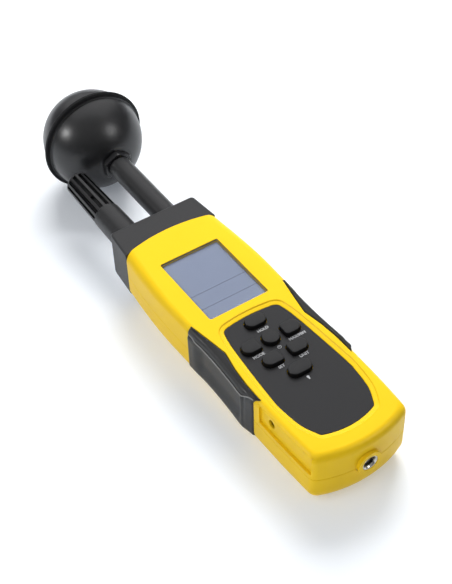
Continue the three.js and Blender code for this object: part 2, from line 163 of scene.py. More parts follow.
softbox("key_softbox", (0.68, 0.88, 1.03), 1.3, 0.8, 22.5, mirrored=False)
softbox("left_fill", (-0.85, -0.1, 0.8), 1.3, 1.0, 6, mirrored=False)
softbox("overhead_panel", (0.3, 0.6, 0.75), 1.6, 2.4, 14, mirrored=True)
softbox("left_strip", (-0.83, 0.33, 0.5), 1.1, 0.16, 4.2, mirrored=True)
softbox("front_strip", (0.5, -0.59, 0.64), 1.2, 0.4, 3.6, mirrored=True)

CAMERA_PLACE = (-204.7, -311.0, 421.8)
CAMERA_TURN = (44.468, 1.671, -33.744)   # degrees
CAMERA_LENS = 77.43
bpy.ops.object.camera_add(
    location=Vector(CAMERA_PLACE) * MM, rotation=[math.radians(a) for a in CAMERA_TURN])
camera = bpy.context.object
camera.data.lens = CAMERA_LENS
bpy.context.scene.camera = camera

# ---- Rear housing ------------------------------------------------------------------------
# The back shell, moulded in yellow ABS with a fine spark-eroded texture. Its flat back has
# broad rounded edges, four deep screw holes and the opening that the battery door slides in.
WALL = 2.4
THICKNESS = 30                # from the back to the front face
GAP = 0.3                     # clearance between neighbouring pieces
SPLIT = 16                    # height of the seam between the two shells
SEAM = 0.1                    # how far they stand apart
HOUSING_END = -80             # corners of the bottom end
END_BULGE = 5                 # how far the bottom end bows out between its corners
BOW_RADIUS = (23 ** 2 + END_BULGE ** 2) / (2 * END_BULGE)
BOW_CENTRE = HOUSING_END - END_BULGE + BOW_RADIUS
CORNER_ROUND = 4              # upright corners of the bottom end
BACK_ROUND = 8.5
FRONT_ROUND = 3.2             # rounding of the front face's long edges, up to the grips
TOP_ROUND = 4.8               # and at the seam with the head
END_ROUND = 3.6               # and along the bottom end
SEAM_CROWN = 65               # the seam with the head, on the centre line
SEAM_SIDE = 61.5              # and at the sides, 23 out
SIDE_POINTS = [
    (23.2, -92), (23.7, -80), (24.6, -62), (25.0, -40), (25.5, -15), (26.0, 7),
    (26.5, 27), (25.9, 44), (24.5, 61), (22.8, 80), (21.8, 92),
]
SCREW_PLACES = [(-15, 54), (15, 54), (-17.6, -62), (17.6, -62)]
SCREW_BOSS, SCREW_BORE, HEAD_BORE = 3.4, 1.5, 2.8
HEAD_DEPTH = 5                # how deep the screws' heads are sunk
DOOR_HALF, DOOR_TOP, DOOR_LIP, DOOR_THICKNESS = 13.6, -12, 1.2, 3.5
BOSS_RADIUS, BOSS_Z = 5.8, 17.5


def slope_at(k):
    """The slope of the side line at one of its inner points."""
    (x0, y0), (x1, y1) = SIDE_POINTS[k - 1], SIDE_POINTS[k + 1]
    return (x1 - x0) / (y1 - y0)


def half_width(y):
    """Half the housing's width at y, on a smooth line through the side points."""
    k = max(i for i in range(1, len(SIDE_POINTS) - 2) if SIDE_POINTS[i][1] <= y or i == 1)
    (x0, y0), (x1, y1) = SIDE_POINTS[k], SIDE_POINTS[k + 1]
    span = y1 - y0
    t = (y - y0) / span
    rise = x1 - x0
    start, end = slope_at(k) * span, slope_at(k + 1) * span
    return x0 + t * (start + t * (3 * rise - 2 * start - end + t * (start + end - 2 * rise)))


def seam_y(x):
    """Where the seam with the head runs, x out from the centre line."""
    return SEAM_CROWN - (SEAM_CROWN - SEAM_SIDE) * (x / 23) ** 2


def fillet(corner, before, after, radius, steps=6):
    """Points of an arc that rounds a corner between the points before and after it."""
    corner = Vector(corner)
    one = (Vector(before) - corner).normalized()
    two = (Vector(after) - corner).normalized()
    half = one.angle(two) / 2
    centre = corner + (one + two).normalized() * radius / math.sin(half)
    start = corner + one * radius / math.tan(half) - centre
    turn = math.pi - 2 * half
    turn *= 1 if one.x * two.y - one.y * two.x < 0 else -1
    points = []
    for i in range(steps + 1):
        angle = turn * i / steps
        c, s = math.cos(angle), math.sin(angle)
        points.append((centre.x + start.x * c - start.y * s, centre.y + start.x * s + start.y * c))
    return points


def mirrored(right):
    """A closed outline from its right half, which starts and ends on the centre line."""
    return right + [(-x, y) for x, y in reversed(right[1:-1])]


def housing_outline(inset, past_seam=0.0):
    """The housing's outline, set in by inset but for the seam, which moves out instead."""
    radius = BOW_RADIUS - inset
    corner = HOUSING_END
    for _ in range(12):
        corner = BOW_CENTRE - math.sqrt(radius ** 2 - (half_width(corner) - inset) ** 2)
    corner_x = half_width(corner) - inset
    reach = CORNER_ROUND * 1.3
    bow = [corner_x * i / 12 for i in range(12)]
    bow = [(x, BOW_CENTRE - math.sqrt(radius ** 2 - x ** 2)) for x in bow if x < corner_x - reach]
    while len(bow) < 12:
        bow.append(((bow[-1][0] + corner_x - reach) / 2, 0))
        bow[-1] = (bow[-1][0], BOW_CENTRE - math.sqrt(radius ** 2 - bow[-1][0] ** 2))
    above = (half_width(corner + 2) - inset, corner + 2)
    rounded = fillet((corner_x, corner), bow[-1], above, CORNER_ROUND)
    top = seam_y(half_width(SEAM_SIDE) - inset) + past_seam
    foot = corner + reach
    side = [foot + (top - foot) * i / 44 for i in range(1, 45)]
    side = [(half_width(y) - inset, y) for y in side]
    crown = [side[-1][0] * (1 - i / 12) for i in range(1, 13)]
    crown = [(x, seam_y(x) + past_seam) for x in crown]
    return mirrored(bow + rounded + side + crown)


def at_height(outline, z):
    return [(x, y, z) for x, y in outline]


def switch(mode, select=""):
    """Enters edit or object mode and selects or deselects everything when asked to."""
    bpy.ops.object.mode_set(mode=mode)
    if select:
        bpy.ops.mesh.select_all(action=select)


def lofted(name, rings):
    """A closed solid through rings of (x, y, z) points, from a disc that is extruded and
    shaped ring by ring."""
    deselect()
    count = len(rings[0])
    bpy.ops.mesh.primitive_circle_add(vertices=count, radius=MM, fill_type="NGON")
    made = bpy.context.object
    made.name = name
    for index, ring in enumerate(rings):
        if index:
            switch("EDIT")
            bpy.ops.mesh.extrude_region_move()
            switch("OBJECT")
        for i, point in enumerate(ring):
            made.data.vertices[index * count + i].co = Vector(point) * MM
    face_out(made)
    return made


def face_out(obj):
    """Turns all faces of a closed mesh outwards."""
    only(obj)
    switch("EDIT", "SELECT")
    bpy.ops.mesh.normals_make_consistent(inside=False)
    switch("OBJECT")


def quarter(start, end, radius, steps=8):
    """Inset and height of each ring of a rounded edge, from a flat face to an upright one."""
    rings = []
    for i in range(steps + 1):
        angle = i * math.pi / 2 / steps
        rise = radius * (1 - math.cos(angle))
        rings.append((radius * (1 - math.sin(angle)), start + (rise if end > start else -rise)))
    return rings


def eased(value, start, end):
    """0 before start, 1 after end, and a smooth rise between them."""
    t = min(max((value - start) / (end - start), 0), 1)
    return t * t * (3 - 2 * t)


def housing_form(name, z0, z1, inset=0.0, back_round=0.0, front_round=0.0, past_seam=0.0):
    """The housing's outer form between two heights, with its long edges and end rounded."""
    rings = quarter(z0, z1, back_round) if back_round else [(0, z0)]
    rings = [at_height(housing_outline(inset + d, past_seam), z) for d, z in rings]
    edge = housing_outline(inset, past_seam)
    if not front_round:
        return lofted(name, [*rings, at_height(edge, z1)])
    inner = housing_outline(inset + front_round, past_seam)
    for share, height in reversed(quarter(1, 0, 1)):
        ring = []
        for (x0, y0), (x1, y1) in zip(edge, inner):
            growth = 1 + (TOP_ROUND / FRONT_ROUND - 1) * eased(y0, 5, 60)
            growth += (END_ROUND / FRONT_ROUND - 1) * eased(-y0, 74, 80)
            across = share * growth
            z = z1 - front_round * growth * (1 - height)
            ring.append((x0 + (x1 - x0) * across, y0 + (y1 - y0) * across, z))
        rings.append(ring)
    return lofted(name, rings)


def placed(name=""):
    """Moves the active object's place and turn into its mesh and names it."""
    bpy.ops.object.transform_apply(location=True, rotation=True, scale=True)
    if name:
        bpy.context.object.name = name
    return bpy.context.object


def box(name, x0, x1, y0, y1, z0, z1):
    """A block between those faces, to cut with or to shape further."""
    centre = Vector(((x0 + x1) / 2, (y0 + y1) / 2, (z0 + z1) / 2)) * MM
    deselect()
    bpy.ops.mesh.primitive_cube_add(
        size=MM, location=centre, scale=(x1 - x0, y1 - y0, z1 - z0))
    return placed(name)


def rod(name, radius, start, end, sides=48):
    """A round bar between two points."""
    start, end = Vector(start) * MM, Vector(end) * MM
    turn = (end - start).to_track_quat("Z", "Y").to_euler()
    deselect()
    bpy.ops.mesh.primitive_cylinder_add(
        vertices=sides, radius=radius * MM, depth=(end - start).length,
        location=(start + end) / 2, rotation=turn)
    return placed(name)


def modify(obj, kind, **settings):
    """Adds one modifier and applies it."""
    only(obj)
    modifier = obj.modifiers.new(kind, kind)
    for name, value in settings.items():
        setattr(modifier, name, value)
    bpy.ops.object.modifier_apply(modifier=modifier.name)


def combine(obj, operation, *tools):
    """Cuts, joins or intersects obj with each tool, which is used up."""
    for tool in tools:
        modify(obj, "BOOLEAN", object=tool, operation=operation, solver="EXACT")
        bpy.data.objects.remove(tool)


def cut(obj, *tools):
    combine(obj, "DIFFERENCE", *tools)


def smooth_up_to(obj, angle):
    """Shades obj smooth but for edges that turn by more than angle."""
    only(obj)
    bpy.ops.object.shade_smooth_by_angle(angle=math.radians(angle))


def soften(obj, width, segments=2, angle=38):
    """Rounds the sharp edges by width and shades the rest smooth."""
    only(obj)
    switch("EDIT", "SELECT")
    bpy.ops.mesh.remove_doubles(threshold=0.01 * MM)
    switch("OBJECT")
    modify(obj, "BEVEL", width=width * MM, segments=segments, limit_method="ANGLE",
           angle_limit=math.radians(angle), use_clamp_overlap=False, miter_outer="MITER_SHARP")
    smooth_up_to(obj, 35)
    modify(obj, "WEIGHTED_NORMAL", keep_sharp=True, weight=80)


def fit(obj, material, body, slot, *nodes):
    """Gives a finished piece its material and body and hides the nodes it stands for; slot is not
    used.
    """
    obj.data.materials.clear()
    obj.data.materials.append(material)
    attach(obj, body)
    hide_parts(*nodes)


def moulded(name, colour, cloud_tone, roughness, grain, depth, specular=0.5, spread=0.07):
    """A moulded plastic or rubber: two shades of its colour in broad clouds, and a raised
    texture of the given grain and depth that also varies the roughness."""
    material, place = new_material(name)
    clouds = add_node(material, "TexNoise", {
        "Scale": 1 / (18 * MM), "Detail": 3.0}, Vector=place)
    texture = add_node(material, "TexNoise", {
        "Scale": 1 / (grain * MM), "Detail": 2.0}, Vector=place)
    shade = add_node(material, "MixRGB", {
        "Color1": srgb(colour), "Color2": srgb(cloud_tone)}, Fac=clouds)
    gloss = add_node(material, "MapRange", {
        "To Min": roughness - spread, "To Max": roughness + spread}, Value=texture)
    bump = add_node(material, "Bump", {
        "Strength": 1.0, "Distance": depth * MM}, Height=texture)
    shader = add_node(material, "BsdfPrincipled", {
        "Specular IOR Level": specular}, Base_Color=shade,
        Roughness=gloss, Normal=bump)
    add_node(material, "OutputMaterial", Surface=shader)
    return material


# Yellow ABS off a spark-eroded tool: satin, a little deeper in colour in places. The real
# texture is about 0.1 mm across and is drawn at 0.7 mm so that it shows at all.
yellow_abs = moulded("yellow_abs", "F4CB1E", "F0C618", 0.36, 0.7, 0.012, 0.12)

GRIP_FRONT_POINTS = [(24.2, 6), (22.6, -2), (20.6, -14), (22.3, -24), (23.1, -33), (23.3, -43.3)]
GRIP_END_POINTS = [(23.3, -43.3), (24.2, -41.6), (25, -40.8), (30, -39.6)]
GRIP_BACK = 6                 # the grips' lower edge over the back
GRIP_DEPTH = 1.6              # how deep the housing is cut for them
BEYOND = 30                   # past the housing's side, for cutters


def grip_pockets():
    """The space that both grips take up in the housing, as one cutter for each side."""
    pockets = []
    for side in (1, -1):
        front = [(x - GAP, y) for x, y in GRIP_FRONT_POINTS]
        front[0] = (front[0][0], front[0][1] + GAP)
        front[-1] = (front[-1][0], front[-1][1] - GAP)
        end = [(x, y - GAP) for x, y in GRIP_END_POINTS[1:]]
        plan = [(x * side, y) for x, y in [*front, *end, (BEYOND, 8 + GAP)]]
        pocket = lofted("pocket", [at_height(plan, GRIP_BACK - GAP), at_height(plan, 33)])
        cut(pocket, housing_form("core", 0, THICKNESS - GRIP_DEPTH, GRIP_DEPTH, 4, 4))
        pockets.append(pocket)
    return pockets


rear = housing_form("rear_shell", 0, SPLIT - SEAM / 2, back_round=BACK_ROUND)
cut(rear, housing_form("core", WALL, 44, WALL, BACK_ROUND - 2, past_seam=12))
ceiling = SPLIT - SEAM / 2
for x, y in SCREW_PLACES:
    combine(rear, "UNION", rod("boss", SCREW_BOSS, (x, y, 1), (x, y, ceiling)))
    cut(rear, rod("bore", SCREW_BORE, (x, y, -1), (x, y, THICKNESS)),
        rod("counterbore", HEAD_BORE, (x, y, -1), (x, y, HEAD_DEPTH)))
door_gap = DOOR_HALF + GAP
rail_gap = door_gap + DOOR_LIP
cut(rear, box("door_way", -door_gap, door_gap, -95, DOOR_TOP + GAP, -1, DOOR_THICKNESS + GAP),
    box("rails", -rail_gap, rail_gap, -95, DOOR_TOP + GAP, WALL, DOOR_THICKNESS + GAP),
    rod("boss_way", BOSS_RADIUS + 0.1, (0, -90, BOSS_Z), (0, -70, BOSS_Z)),
    *grip_pockets())
soften(rear, 0.15)
fit(rear, yellow_abs, "meter", "yellow_plastic", "rear_housing")

# ---- Front housing -----------------------------------------------------------------------
# The front shell, moulded in the same yellow ABS: a square window for the display, a sunk
# keypad panel with a sloped border, a long side recess with the jack hole, and the round
# boss at the bottom end that holds the tripod insert.
FRONT_WALL = 2.5
PANEL_Z = 29.2                # top of the keypad overlay
PANEL_BORDER = 2.4            # width of the sloped border round it
WINDOW_HALF, WINDOW_BOTTOM, WINDOW_TOP, WINDOW_ROUND = 15.2, 5.3, 46.4, 0.9
OVERLAY_SIDE = [(13.2, -71.2), (16.9, -62.8), (18.4, -52), (18.5, -46), (17.4, -29),
                (15.9, -12), (14.4, -4.2)]
KEY_ROUNDS = {                # rounding of each key's left and right ends
    "key_hold": (3.0, 3.0), "key_power": (3.8, 3.8), "key_mode": (3.1, 1.3),
    "key_max_min": (1.3, 3.1), "key_set": (3.0, 1.3), "key_unit": (1.3, 3.0),
    "key_light": (3.0, 3.0),
}
KEY_FLANGE = 0.9              # how far a key's hidden flange reaches past its cap
RECESS_DEPTH = 1.2
JACK_Y, JACK_Z, JACK_HOLE = -52, 23.5, 2
INSERT_OUTER = 3.7


def round_edges(obj, axis, radius, segments):
    """Rounds a block's four edges that run along an axis, 1 for Y or 2 for Z."""
    only(obj)
    switch("EDIT", "DESELECT")
    switch("OBJECT")
    for edge in obj.data.edges:
        a, b = (obj.data.vertices[v].co for v in edge.vertices)
        edge.select = abs(a[axis] - b[axis]) > 0.1 * MM
    switch("EDIT")
    bpy.ops.mesh.bevel(offset=radius * MM, segments=segments, affect="EDGES")
    switch("OBJECT")


def smooth_line(points, steps):
    """Points on a smooth line through the given ones."""
    ends = [points[0], *points, points[-1]]
    line = []
    for a, b, c, d in zip(ends, ends[1:], ends[2:], ends[3:]):
        for i in range(steps):
            t = i / steps
            line.append(tuple(
                b[k] + 0.5 * t * (c[k] - a[k] + t * (
                    2 * a[k] - 5 * b[k] + 4 * c[k] - d[k] + t * (3 * (b[k] - c[k]) + d[k] - a[k])))
                for k in (0, 1)))
    return [*line, points[-1]]


def arch(start, pull, end, steps):
    """Points on an arch from start to end, bent towards pull; start is left out."""
    points = []
    for i in range(1, steps + 1):
        t = i / steps
        points.append(tuple(
            (1 - t) ** 2 * start[k] + 2 * t * (1 - t) * pull[k] + t * t * end[k] for k in (0, 1)))
    return points


def grown(outline, amount):
    """A closed outline with each point moved out by amount, square to the outline."""
    moved = []
    for i, (x, y) in enumerate(outline):
        before, after = outline[i - 1], outline[(i + 1) % len(outline)]
        along = Vector((after[0] - before[0], after[1] - before[1])).normalized()
        moved.append((x + along.y * amount, y - along.x * amount))
    return moved


def overlay_outline():
    """The keypad overlay: bowed ends, curved sides and rounded corners."""
    low, high = OVERLAY_SIDE[0], OVERLAY_SIDE[-1]
    bottom = [(0, -73.8), *arch((0, -73.8), (6.6, -73.8), low, 10)]
    side = smooth_line(OVERLAY_SIDE, 6)
    corner = fillet(low, bottom[-3], side[4], 1.6, 5)
    right = bottom[:-2] + corner + side[4:]
    right += arch(high, (13.6, -2.3), (10, -2.0), 6)
    right += arch((10, -2.0), (5, -1.3), (0, -1.3), 6)
    return mirrored(right)


def node_box(name):
    """The low and the high corner of a node's box."""
    return [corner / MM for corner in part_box(name)]


def key_outline(key, grow):
    """A key cap's outline at its place, a rounded bar grown by grow all round."""
    low, high = node_box(key)
    middle = (low + high) / 2
    half = (high - low) / 2 - Vector((KEY_FLANGE, KEY_FLANGE, 0)) + Vector((grow, grow, 0))
    left, right = (max(size + grow, 0.2) for size in KEY_ROUNDS[key])
    corners = [(half.x - right, half.y - right, right, 0), (left - half.x, half.y - left, left, 90),
               (left - half.x, left - half.y, left, 180), (half.x - right, right - half.y, right, 270)]
    points = []
    for x, y, radius, start in corners:
        for i in range(9):
            angle = math.radians(start + 90 * i / 8)
            points.append((middle.x + x + radius * math.cos(angle),
                           middle.y + y + radius * math.sin(angle)))
    return points


def window_block(name, inset, z0, z1):
    """A block that fills the display window but for an inset, with rounded upright corners."""
    block = box(name, inset - WINDOW_HALF, WINDOW_HALF - inset, WINDOW_BOTTOM + inset,
                WINDOW_TOP - inset, z0, z1)
    round_edges(block, 2, WINDOW_ROUND - inset, 5)
    return block


def key_holes(grow, z0, z1):
    return [lofted("hole", [at_height(key_outline(key, grow), z) for z in (z0, z1)])
            for key in KEY_ROUNDS]


front = housing_form("front_shell", SPLIT + SEAM / 2, THICKNESS, front_round=FRONT_ROUND)
cut(front, housing_form("core", 10, THICKNESS - FRONT_WALL, WALL, front_round=1, past_seam=12))
for x, y in SCREW_PLACES:
    combine(front, "UNION", rod("boss", SCREW_BOSS, (x, y, SPLIT + SEAM / 2), (x, y, 28)))
    cut(front, rod("bore", SCREW_BORE, (x, y, 10), (x, y, 23)))
combine(front, "UNION", rod("boss", BOSS_RADIUS, (0, HOUSING_END - 6.6, BOSS_Z), (0, -74, BOSS_Z)))
panel = overlay_outline()
floor_z = PANEL_Z - 0.5 - GAP
border = lofted("border", [
    at_height(grown(panel, GAP / 2), floor_z), at_height(grown(panel, GAP / 2), PANEL_Z),
    at_height(grown(panel, PANEL_BORDER - 0.4), THICKNESS - 0.45),
    at_height(grown(panel, PANEL_BORDER), THICKNESS), at_height(grown(panel, PANEL_BORDER), 31)])
cut(front, rod("insert_way", INSERT_OUTER + 0.1, (0, -90, BOSS_Z), (0, -70, BOSS_Z)),
    window_block("window", 0, 20, 40),
    border, *key_holes(GAP, 20, 40), *grip_pockets())
recess = box("side_recess", -BEYOND, -15, -78.4, -45, 18.6, 28.4)
cut(recess, housing_form("core", 10, 40, RECESS_DEPTH))
cut(front, recess,
    rod("jack_hole", JACK_HOLE, (-BEYOND, JACK_Y, JACK_Z), (-15, JACK_Y, JACK_Z)))
soften(front, 0.18)
fit(front, yellow_abs, "meter", "yellow_plastic", "front_housing")

# ---- Grips -------------------------------------------------------------------------------
# Two soft black rubber grips, moulded over the housing's sides. Each has a rounded band let in
# flush with the front face, a fine raised ridge where the band meets the side, and a finger
# hollow below the ridge that ends in a step above the thicker lower end.
GRIP_TOP, GRIP_BOTTOM = 6.5, -43.2
GRIP_FACE = 30.15             # the band on the front face
SHOULDER = GRIP_FACE - 0.35   # where the band starts to turn down the side
TURN_IN = 2.6                 # and how far in from the swollen edge that is
SIDE_IN = 0.45                # how far the side above the ridge stands in
RIDGE_RISE = 0.55             # how far above the ridge that side begins
HOLLOW_BASE = 7.4             # where the hollow side meets the back edge's rounding
SIDE_STEPS = 14
GRIP_SWELL = [(0.45, 7), (0.4, 1), (0.15, -5), (0.35, -15), (1.0, -26), (1.6, -33.5),
              (1.3, -37), (0.6, -43.2)]
GRIP_HOLLOW = 1.4             # depth of the finger hollow
HOLLOW_TOP, HOLLOW_FOOT, HOLLOW_END = 3.0, -31.4, -34.4
RIDGE_Z, RIDGE_TOP_Z = 26.3, 29.0
RIDGE_PROUD = 0.6             # how far the ridge stands out


def between(points, y):
    """The first value of the points at y, on straight lines between them, from high to low."""
    for (value_a, y_a), (value_b, y_b) in zip(points, points[1:]):
        if y >= y_b:
            break
    share = min(max((y_a - y) / (y_a - y_b), 0), 1)
    return value_a + (value_b - value_a) * share


GRIP_SWELL_LINE = smooth_line(GRIP_SWELL, 6)


def grip_ring(y):
    """The right grip's closed section at y: over its outside from the front, then back."""
    inner = between(GRIP_FRONT_POINTS, y)
    side = half_width(y)
    edge = side + between(GRIP_SWELL_LINE, y)
    deep = GRIP_HOLLOW * eased(-y, -HOLLOW_TOP, 3) * (1 - eased(-y, -HOLLOW_FOOT, -HOLLOW_END))
    ridge = RIDGE_Z + (RIDGE_TOP_Z - RIDGE_Z) * eased(-y, 33, 43)
    fold = 0.7 * eased(-y, 34.2, 35) * (1 - eased(-y, 35.4, 38))
    turn_x = edge - TURN_IN
    side_z = ridge + RIDGE_RISE
    outside = [(inner, GRIP_FACE - 0.5), (inner + 0.12, GRIP_FACE - 0.14), (inner + 0.5, GRIP_FACE),
               ((inner + turn_x) / 2, GRIP_FACE - 0.05), (turn_x, SHOULDER)]
    for i in range(1, 7):
        angle = math.pi / 2 * i / 6
        outside.append((turn_x + (TURN_IN - SIDE_IN) * math.sin(angle),
                        side_z + (SHOULDER - side_z) * math.cos(angle)))
    proud = edge - SIDE_IN + RIDGE_PROUD * eased(-y, -4.5, 0) * (1 - 0.5 * eased(-y, 34, 40))
    outside += [(proud - 0.25, ridge + 0.4), (proud - 0.06, ridge + 0.22), (proud, ridge),
                (proud - 0.06, ridge - 0.22), (proud - 0.25, ridge - 0.36)]
    under_ridge = ridge - 0.5
    for i in range(SIDE_STEPS + 1):
        share = i / SIDE_STEPS
        z = under_ridge - (under_ridge - HOLLOW_BASE) * share
        sunk = (0.55 + 0.45 * eased(share, 0, 0.2)) * (1 - eased(share, 0.6, 1))
        outside.append((edge - 0.5 * (i == 0) - deep * sunk - fold * (1 - share), z))
    outside += [(edge - 0.08, 6.6), (edge - 0.3, 6.1), (edge - 0.8, GRIP_BACK)]
    inside = [(side - 1.5, GRIP_BACK), (side - 1.5, 25.6), (side - 2.3, 27.8), (side - 3.1, 28.6),
              (inner, 28.7)]
    return [(x, y, z) for x, z in outside + inside]


def slimmer(ring, amount, y):
    """A ring drawn in towards its neighbours' middle by amount, to round an end."""
    middle = sum((Vector((p[0], 0, p[2])) for p in ring), Vector()) / len(ring)
    return [(p[0] + (amount if p[0] < middle.x - 3 else -amount), y, p[2] - amount * (p[2] > 28))
            for p in ring]


def drawn_up(x, y):
    """Where a point at x and y goes when the grip's lower end follows its slanted end line."""
    end = between([(point_y, -point_x) for point_x, point_y in GRIP_END_POINTS], -x)
    share = max((HOLLOW_END - y) / (HOLLOW_END - GRIP_BOTTOM), 0)
    return y + (end - GRIP_BOTTOM) * share


# Soft moulded rubber: near black with a dull sheen; the ridge's bright line is a painted highlight.
grip_rubber = moulded("grip_rubber", "1C1C1D", "1A1A1B", 0.38, 0.9, 0.010, 0.38)

# The ridge's faces are painted pale grey: a painted highlight for the bright line along the ridge.
ridge_painted_highlight = moulded("ridge_painted_highlight", "8C8C8A", "7E7E7C", 0.3, 0.9, 0.004, 0.5)
RIDGE_FIRST = 11              # the ridge's first point in a section
GRIP_LENGTHS = 74             # sections along a grip

rows = [GRIP_TOP + (GRIP_BOTTOM - GRIP_TOP) * i / GRIP_LENGTHS for i in range(GRIP_LENGTHS + 1)]
for name, side in (("right_grip", 1), ("left_grip", -1)):
    first, last = grip_ring(rows[0]), grip_ring(rows[-1])
    rings = [slimmer(first, 0.35, rows[0] + 0.3), slimmer(first, 0.1, rows[0] + 0.2)]
    rings += [grip_ring(y) for y in rows]
    rings += [slimmer(last, 0.1, rows[-1] - 0.2), slimmer(last, 0.35, rows[-1] - 0.3)]
    rings = [[(x * side, drawn_up(x, y), z) for x, y, z in ring] for ring in rings]
    grip = lofted(name + "_rubber", rings)
    grip.data.materials.append(grip_rubber)
    grip.data.materials.append(ridge_painted_highlight)
    # The faces along the ridge's crest take the painted highlight.
    on_ridge = range(RIDGE_FIRST, RIDGE_FIRST + 4)
    for face in grip.data.polygons:
        places = [v % len(first) for v in face.vertices]
        face.material_index = int(len(places) == 4 and all(i in on_ridge for i in places))
    smooth_up_to(grip, 50)
    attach(grip, "meter")
    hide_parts(name)

# ---- Keypad ------------------------------------------------------------------------------
# A dark polyester overlay sits in the sunk panel. Seven keys of one silicone mat stand
# through it, each with a rounded rim, a faintly domed top and a flange under the shell.
# Polyester film with a fine matt print: an even dark grey without a clear highlight.
overlay_film = moulded("overlay_film", "1C1C1F", "1A1A1C", 0.40, 0.5, 0.005, 0.4, 0.04)
# The keys' silicone has a matt top; its walls are painted darker and duller, a painted shade for walls
# that stand in shadow.
key_rubber = moulded("key_rubber", "1A1A1C", "18181A", 0.40, 0.6, 0.008, 0.4)
key_wall_painted_shade = moulded("key_wall_painted_shade", "131315", "101012", 0.6, 0.6, 0.004, 0.15)

panel_film = lofted("keypad_film", [at_height(panel, PANEL_Z - 0.5), at_height(panel, PANEL_Z)])
cut(panel_film, *key_holes(GAP + 0.1, 20, 40))
soften(panel_film, 0.08, 1)
fit(panel_film, overlay_film, "meter", "overlay_film", "keypad_overlay")

KEY_RIM = 0.4                 # rounding of a key's top edge
KEY_DOME = 0.12


def paint_shade_on_faces(obj, material, chosen):
    """Gives the faces that chosen picks out a second material, which paints shade on them."""
    obj.data.materials.append(material)
    for face in obj.data.polygons:
        if chosen(face):
            face.material_index = 1


for key in KEY_ROUNDS:
    low, high = node_box(key)
    top = high.z - KEY_DOME
    rings = [(KEY_FLANGE, low.z), (KEY_FLANGE, low.z + 1), (0, low.z + 1)]
    rings += [(-inset, z) for inset, z in reversed(quarter(top, top - 1, KEY_RIM, 4))]
    rings += [(-0.9, top + KEY_DOME * 0.5), (-1.6, high.z)]
    cap = lofted(key + "_cap", [at_height(key_outline(key, grow), z) for grow, z in rings])
    smooth_up_to(cap, 40)
    fit(cap, key_rubber, key, "key_rubber", key)
    # The walls take the painted shade.
    paint_shade_on_faces(cap, key_wall_painted_shade, lambda face: face.normal.z < 0.3)

# ---- Key legends -------------------------------------------------------------------------
# Plain function words and two symbols, screen printed on the film beside each key in a
# light grey ink that stands a few hundredths of a millimetre proud.
LEGENDS = {
    "HOLD": (0.4, -11.6), "MODE": (-9.6, -23.0), "MAX/MIN": (10.2, -23.0),
    "SET": (-5.2, -33.2), "UNIT": (6.4, -33.2),
}
LEGEND_HEIGHT = 2.0
INK = 0.04                    # its thickness
INK_SPREAD = 0.04             # how much wider it makes the strokes

# Screen ink: a flat light grey.
legend_ink = moulded("legend_ink", "C2C3C6", "B8B9BC", 0.5, 0.5, 0.004, 0.3)


def flat_mark(name, obj, x, y):
    """Makes a text or curve a thin printed mesh at its place on the film."""
    only(obj)
    bpy.ops.object.convert(target="MESH")
    bpy.context.object.location = Vector((x, y, PANEL_Z + INK / 2)) * MM
    return placed(name)


marks = []
for word, (x, y) in LEGENDS.items():
    bpy.ops.object.text_add()
    text = bpy.context.object
    text.data.body = word
    text.data.size = LEGEND_HEIGHT * MM
    text.data.extrude = INK / 2 * MM
    text.data.offset = INK_SPREAD * MM
    text.data.align_x = "CENTER"
    text.data.align_y = "CENTER"
    marks.append(flat_mark("legend_" + word.split("/")[0].lower(), text, x, y))

# The power symbol is a ring with a stroke; the light symbol is a bulb on its cap.
POWER_MARK, LAMP_MARK = (0.3, -23.9), (0.4, -44.2)
deselect()
bpy.ops.mesh.primitive_torus_add(
    major_radius=0.8 * MM, minor_radius=0.13 * MM, major_segments=40, minor_segments=6)
ring = flat_mark("legend_power", bpy.context.object, *POWER_MARK)
x, y = POWER_MARK
cut(ring, box("notch", x - 0.3, x + 0.3, y, y + 2, 28, 31))
stroke = box("stroke", x - 0.12, x + 0.12, y, y + 1.0, PANEL_Z - 0.05, PANEL_Z + 0.06)
combine(ring, "UNION", stroke)
marks.append(ring)
x, y = LAMP_MARK
lamp = rod("legend_light", 0.62, (x, y + 0.3, PANEL_Z - 0.05), (x, y + 0.3, PANEL_Z + INK))
combine(lamp, "UNION", box("cap", x - 0.32, x + 0.32, y - 1.1, y, PANEL_Z - 0.05, PANEL_Z + INK))
marks.append(lamp)
for mark in marks:
    fit(mark, legend_ink, "meter", "overlay_film")

# ---- Display -----------------------------------------------------------------------------
# A clear acrylic window lies in the front shell over the liquid crystal glass, which looks
# blue grey with two fine dividing lines. Its side faces carry painted shade for the opening's walls.
WINDOW_Z = 29.85
LENS_THICKNESS = 1.05
window = window_block("window_lens", 0.05, WINDOW_Z - LENS_THICKNESS, WINDOW_Z)
soften(window, 0.12)

# Clear acrylic: see-through, with the sharp reflections of a polished sheet at low angles.
clear_acrylic, place = new_material("clear_acrylic")
haze = add_node(clear_acrylic, "TexNoise", {"Scale": 1 / (9 * MM)}, Vector=place)
gloss = add_node(clear_acrylic, "MapRange", {
    "To Min": 0.05, "To Max": 0.11}, Value=haze)
mirror = add_node(clear_acrylic, "BsdfGlossy", {
    "Color": srgb("FFFFFF")}, Roughness=gloss)
clear = add_node(clear_acrylic, "BsdfTransparent", {"Color": srgb("F4F6FA")})
facing = add_node(clear_acrylic, "Fresnel", {"IOR": 1.49})
inside = add_node(clear_acrylic, "NewGeometry").outputs["Backfacing"]
outer_only = add_node(clear_acrylic, "Math", {"operation": "SUBTRACT", "use_clamp": True})
mixed = add_node(clear_acrylic, "MixShader", Fac=outer_only)
for source, socket in ((facing.outputs[0], outer_only.inputs[0]), (inside, outer_only.inputs[1]),
                       (clear.outputs[0], mixed.inputs[1]), (mirror.outputs[0], mixed.inputs[2])):
    clear_acrylic.node_tree.links.new(source, socket)
add_node(clear_acrylic, "OutputMaterial", Surface=mixed)

